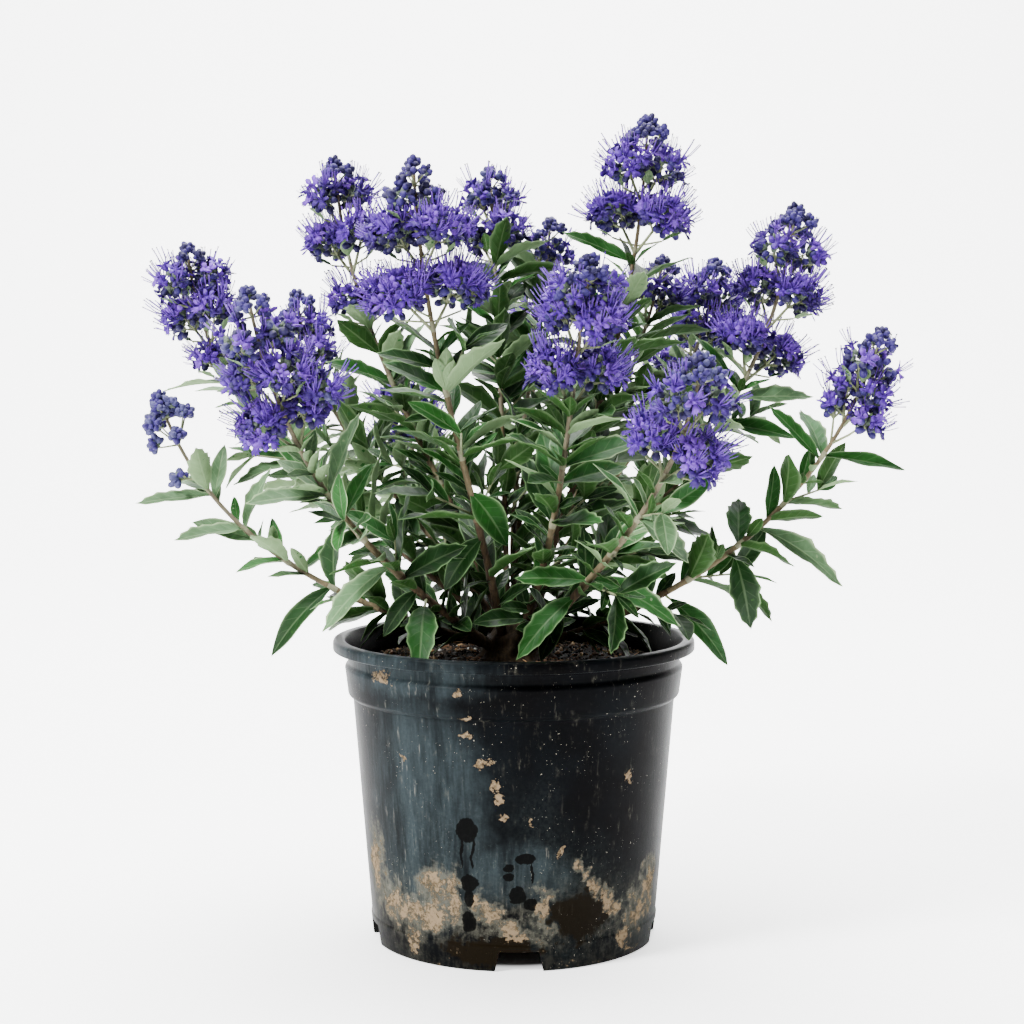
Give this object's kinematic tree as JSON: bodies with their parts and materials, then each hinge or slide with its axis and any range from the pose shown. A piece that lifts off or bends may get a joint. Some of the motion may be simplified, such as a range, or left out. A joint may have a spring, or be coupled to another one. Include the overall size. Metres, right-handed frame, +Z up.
{
  "type": "potted bluebeard",
  "caption": "Flowering bluebeard shrub growing in a round tapered nursery pot, with leafy stems that end in tiered blue flower spikes; stands on the pot's flat underside.",
  "frame": {"origin": "on the pot's axis at the level of its flat underside", "axes": "+Z up along the pot's axis; the pictured front faces -Y, with +X to the right seen from the front"},
  "size_m": [0.4647, 0.3675, 0.498],
  "materials": {
    "pot_plastic": "black moulded plastic, satin, scuffed and splashed with dry mud",
    "soil": "dark moist potting mix with bark chips and perlite",
    "bark": "thin ridged brown bark, paler and greyer higher up",
    "leaf": "matt grey-green leaves, felted and pale beneath",
    "blossom": "violet-blue flowers and buds in grey-green calyces"
  },
  "bodies": {
    "root": {"blossom_back_centre": "blossom", "blossom_back_left": "blossom", "blossom_back_right": "blossom", "blossom_centre_left": "blossom", "blossom_far_left": "blossom", "blossom_far_right": "blossom", "blossom_front_centre": "blossom", "blossom_front_left": "blossom", "blossom_front_right": "blossom", "blossom_inner_right": "blossom", "blossom_low_back": "blossom", "blossom_low_back_right": "blossom", "blossom_low_left": "blossom", "blossom_rear_centre": "blossom", "blossom_rear_right": "blossom", "blossom_tall_left": "blossom", "blossom_tallest": "blossom", "blossom_upper_right": "blossom", "bough_back_centre": "bark", "bough_back_left": "bark", "bough_back_right": "bark", "bough_centre_left": "bark", "bough_far_left": "bark", "bough_far_right": "bark", "bough_front_centre": "bark", "bough_front_left": "bark", "bough_front_right": "bark", "bough_inner_right": "bark", "bough_low_back": "bark", "bough_low_back_right": "bark", "bough_low_left": "bark", "bough_rear_centre": "bark", "bough_rear_right": "bark", "bough_tall_left": "bark", "bough_tallest": "bark", "bough_upper_right": "bark", "crown": "bark", "foliage_back_centre": "leaf", "foliage_back_left": "leaf", "foliage_back_right": "leaf", "foliage_centre_left": "leaf", "foliage_far_left": "leaf", "foliage_far_right": "leaf", "foliage_front_centre": "leaf", "foliage_front_left": "leaf", "foliage_front_right": "leaf", "foliage_inner_right": "leaf", "foliage_low_back": "leaf", "foliage_low_back_right": "leaf", "foliage_low_left": "leaf", "foliage_rear_centre": "leaf", "foliage_rear_right": "leaf", "foliage_tall_left": "leaf", "foliage_tallest": "leaf", "foliage_upper_right": "leaf", "pot": "pot_plastic", "soil": "soil"}
  },
  "joints": []
}
